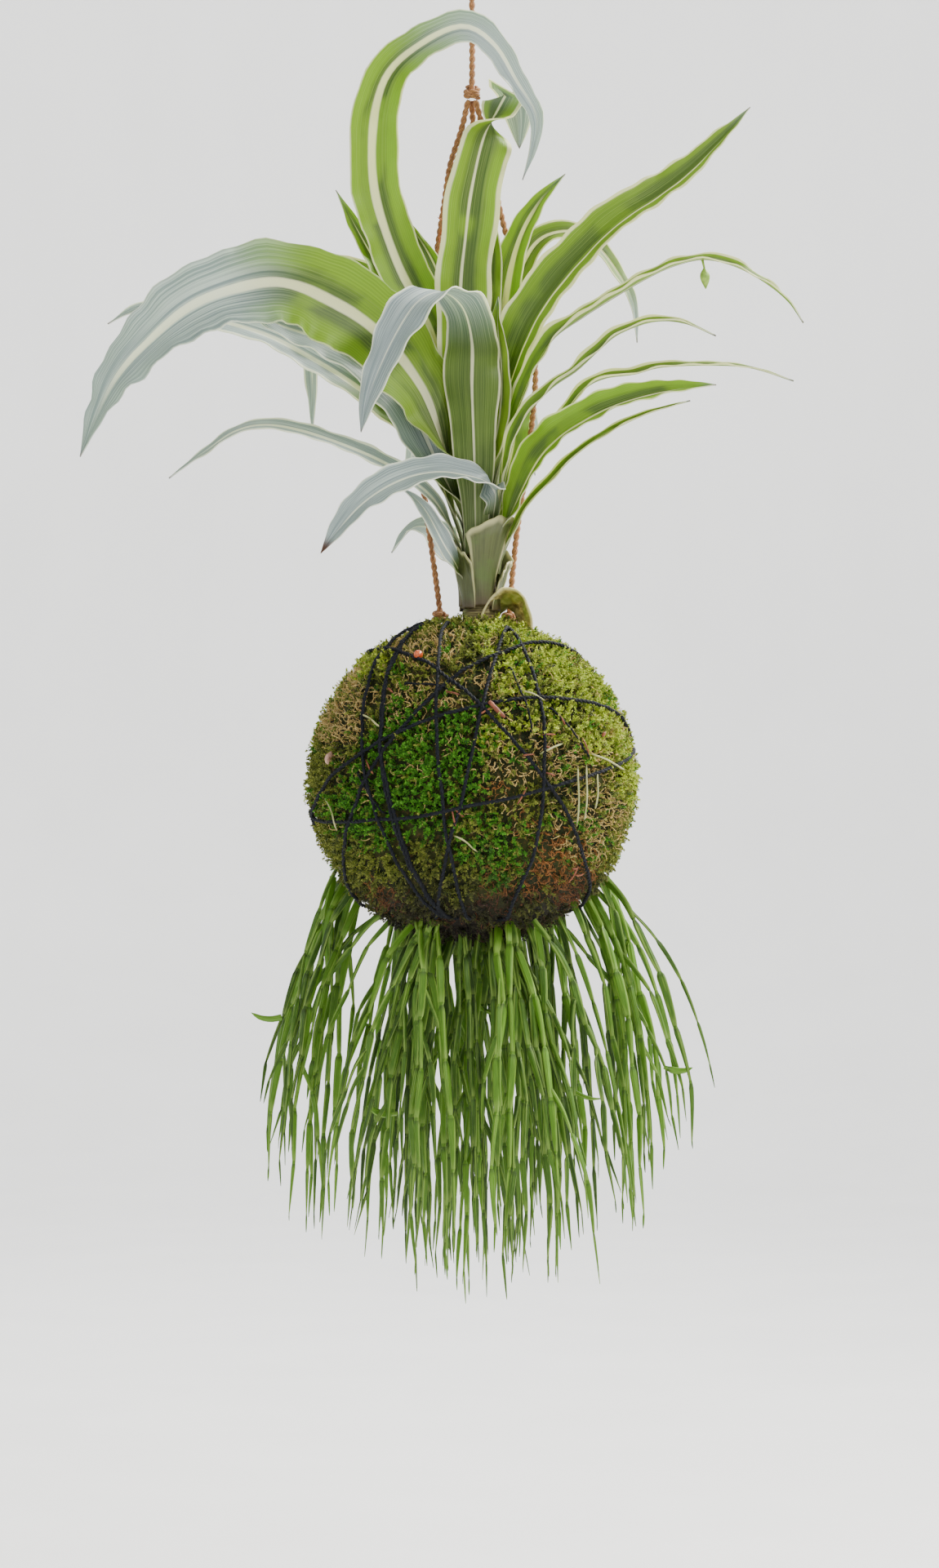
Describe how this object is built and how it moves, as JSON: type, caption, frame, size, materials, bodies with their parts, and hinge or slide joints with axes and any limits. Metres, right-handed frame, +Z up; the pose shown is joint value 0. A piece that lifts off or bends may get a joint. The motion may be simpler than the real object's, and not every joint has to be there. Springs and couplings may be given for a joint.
{
  "type": "hanging kokedama moss ball plant",
  "caption": "Thread-bound moss ball with variegated strap leaves on a cane above, jointed stems trailing below, and a three-leg cord hanger with a loop.",
  "frame": {"origin": "under the crown of the hanging loop, where a hook bears", "axes": "+Z up along the hanger, +X to the plant's right seen from its front, +Y to its back"},
  "size_m": [0.3242, 0.195, 0.6455],
  "materials": {
    "moss": "matte living moss, green with tan and rust patches",
    "soil": "damp matte soil",
    "thread": "dark twisted thread",
    "cane": "satin green-brown cane with leaf scars",
    "leaf": "satin green blade with lime bands and cream edges",
    "stem": "satin fresh green",
    "cord": "matte twisted cord",
    "dried": "dry, translucent, rust red"
  },
  "bodies": {
    "root": {"moss_cover": "moss", "soil_core": "soil", "binding_thread": "thread", "dracaena_cane": "cane", "old_leaf_sheath": "cane", "leaf_tall_arching": "leaf", "leaf_centre_strap": "leaf", "leaf_left_behind": "leaf", "leaf_left_inner": "leaf", "leaf_right_inner": "leaf", "leaf_right_short": "leaf", "leaf_back_right_arch": "leaf", "leaf_right_long": "leaf", "leaf_right_arch_high": "leaf", "leaf_right_arch_middle": "leaf", "leaf_right_arch_low": "leaf", "leaf_right_low_broad": "leaf", "leaf_right_low_thin": "leaf", "leaf_left_broad": "leaf", "leaf_left_under": "leaf", "leaf_left_pale": "leaf", "leaf_left_low_thin": "leaf", "leaf_front_low": "leaf", "leaf_front_folded": "leaf", "leaf_centre_wavy": "leaf", "leaf_back_left_curl": "leaf", "leaf_back_left_arch": "leaf", "leaf_back_left_low": "leaf", "leaf_left_short": "leaf", "leaf_back_high": "leaf", "leaf_back_right": "leaf", "leaf_back_left": "leaf", "leaf_back_low": "leaf", "stems_left": "stem", "stems_right": "stem", "stems_back_left": "stem", "stems_back": "stem", "stems_back_right": "stem", "stems_front_left": "stem", "stems_front_right": "stem", "stems_middle": "stem", "hanger_leg_left": "cord", "hanger_leg_right": "cord", "hanger_leg_back": "cord", "hanger_line": "cord", "hanging_loop": "cord", "gathering_knot": "cord", "loop_knot": "cord", "anchor_knot_left": "cord", "anchor_knot_right": "cord", "anchor_knot_back": "cord", "dried_tendril": "dried"}
  },
  "joints": []
}
